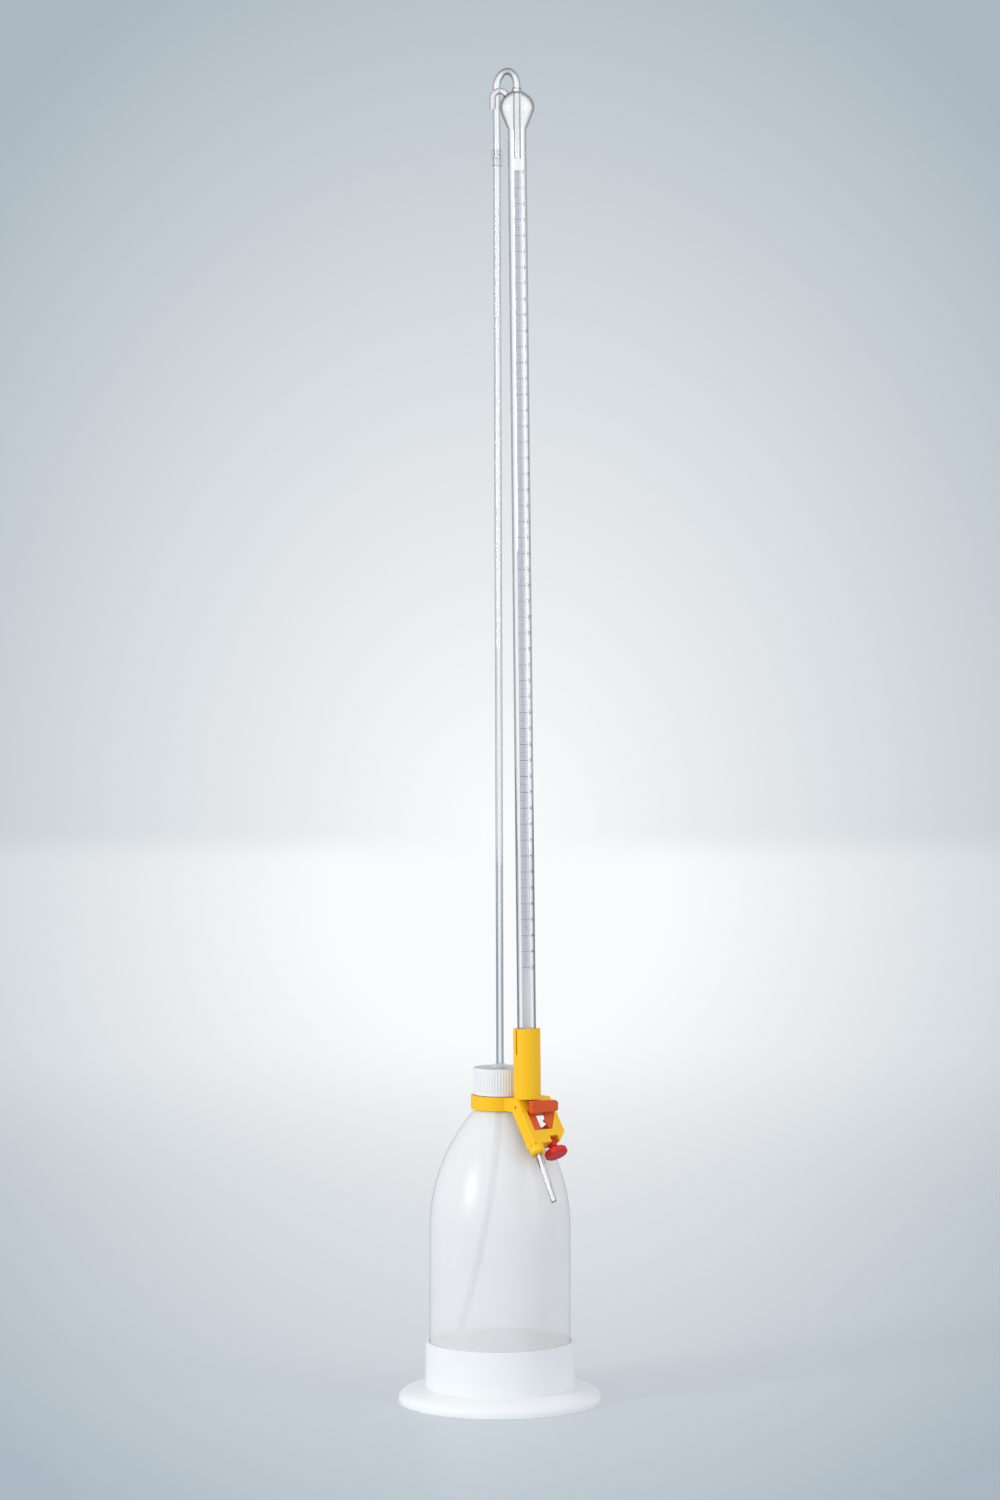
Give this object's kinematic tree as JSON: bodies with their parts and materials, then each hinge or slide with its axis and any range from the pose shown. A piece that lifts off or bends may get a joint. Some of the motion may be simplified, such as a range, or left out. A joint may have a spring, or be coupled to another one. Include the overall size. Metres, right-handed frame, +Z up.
{
  "type": "self-zeroing burette",
  "caption": "Tall glass titration burette in a moulded holder on a squeeze bottle with a flared base, with an overflow bend for the zero, a push-button pinchcock and a fine screw.",
  "frame": {"origin": "middle of the base's underside, on the bottle's axis", "axes": "+Z up along the bottle, -Y towards the picture's camera, the burette stands towards +X and -Y"},
  "size_m": [0.135, 0.135, 0.8874],
  "materials": {
    "white_plastic": "moulded, satin gloss",
    "bottle_plastic": "translucent, frosted",
    "cap_plastic": "translucent, ribbed",
    "tube_plastic": "translucent, smooth",
    "soft_clear": "soft, translucent",
    "glass": "clear, fire polished",
    "yellow_plastic": "moulded, glossy",
    "red_plastic": "moulded, satin",
    "dark_red_plastic": "moulded, satin",
    "spring_steel": "drawn wire"
  },
  "bodies": {
    "stand": {"base": "white_plastic", "bottle": "bottle_plastic", "dip_tube": "tube_plastic", "riser_tube": "tube_plastic", "connector_sleeve": "soft_clear", "burette_tube": "glass", "overflow_bend": "glass", "vent_hook": "glass", "socket_cushion": "soft_clear", "holder": "yellow_plastic", "retaining_pin": "dark_red_plastic", "pinch_tube": "soft_clear", "return_spring": "spring_steel", "spring_pin": "spring_steel", "tip_ferrule": "yellow_plastic", "dropping_tip": "glass"},
    "cap_insert": {"cap_seal": "soft_clear", "riser_grommet": "soft_clear"},
    "cap": {"screw_cap": "cap_plastic"},
    "button": {"push_button": "red_plastic"},
    "screw_thrust": {"thrust_tip": "spring_steel"},
    "fine_screw": {"micro_screw": "dark_red_plastic"}
  },
  "joints": [
    {"name": "cap_lift", "type": "slide", "parent": "stand", "child": "cap_insert", "axis": [0, 0, 1], "range_m": [0, 0.00901]},
    {"name": "cap_turn", "type": "hinge", "parent": "cap_insert", "child": "cap", "pos_m": [0, 0, 0.21], "axis": [0, 0, 1], "range_deg": [0, 1080]},
    {"name": "button_press", "type": "slide", "parent": "stand", "child": "button", "axis": [-0.766, -0.6428, 0], "range_m": [0, 0.002], "stiffness_N_per_m": 900, "springref_m": -0.002, "deforming": ["return_spring"]},
    {"name": "screw_advance", "type": "slide", "parent": "stand", "child": "screw_thrust", "axis": [-0.3632, 0.4328, 0.8251], "range_m": [-0.00105, 0.00105]},
    {"name": "screw_turn", "type": "hinge", "parent": "screw_thrust", "child": "fine_screw", "pos_m": [0.03483, -0.02984, 0.17353], "axis": [-0.3632, 0.4328, 0.8251], "range_deg": [-541, 541]}
  ],
  "couplings": [
    {"joint": "cap_lift", "follows": "cap_turn", "m_per_rad": 0.00047746},
    {"joint": "screw_turn", "follows": "screw_advance", "rad_per_m": 8976}
  ]
}
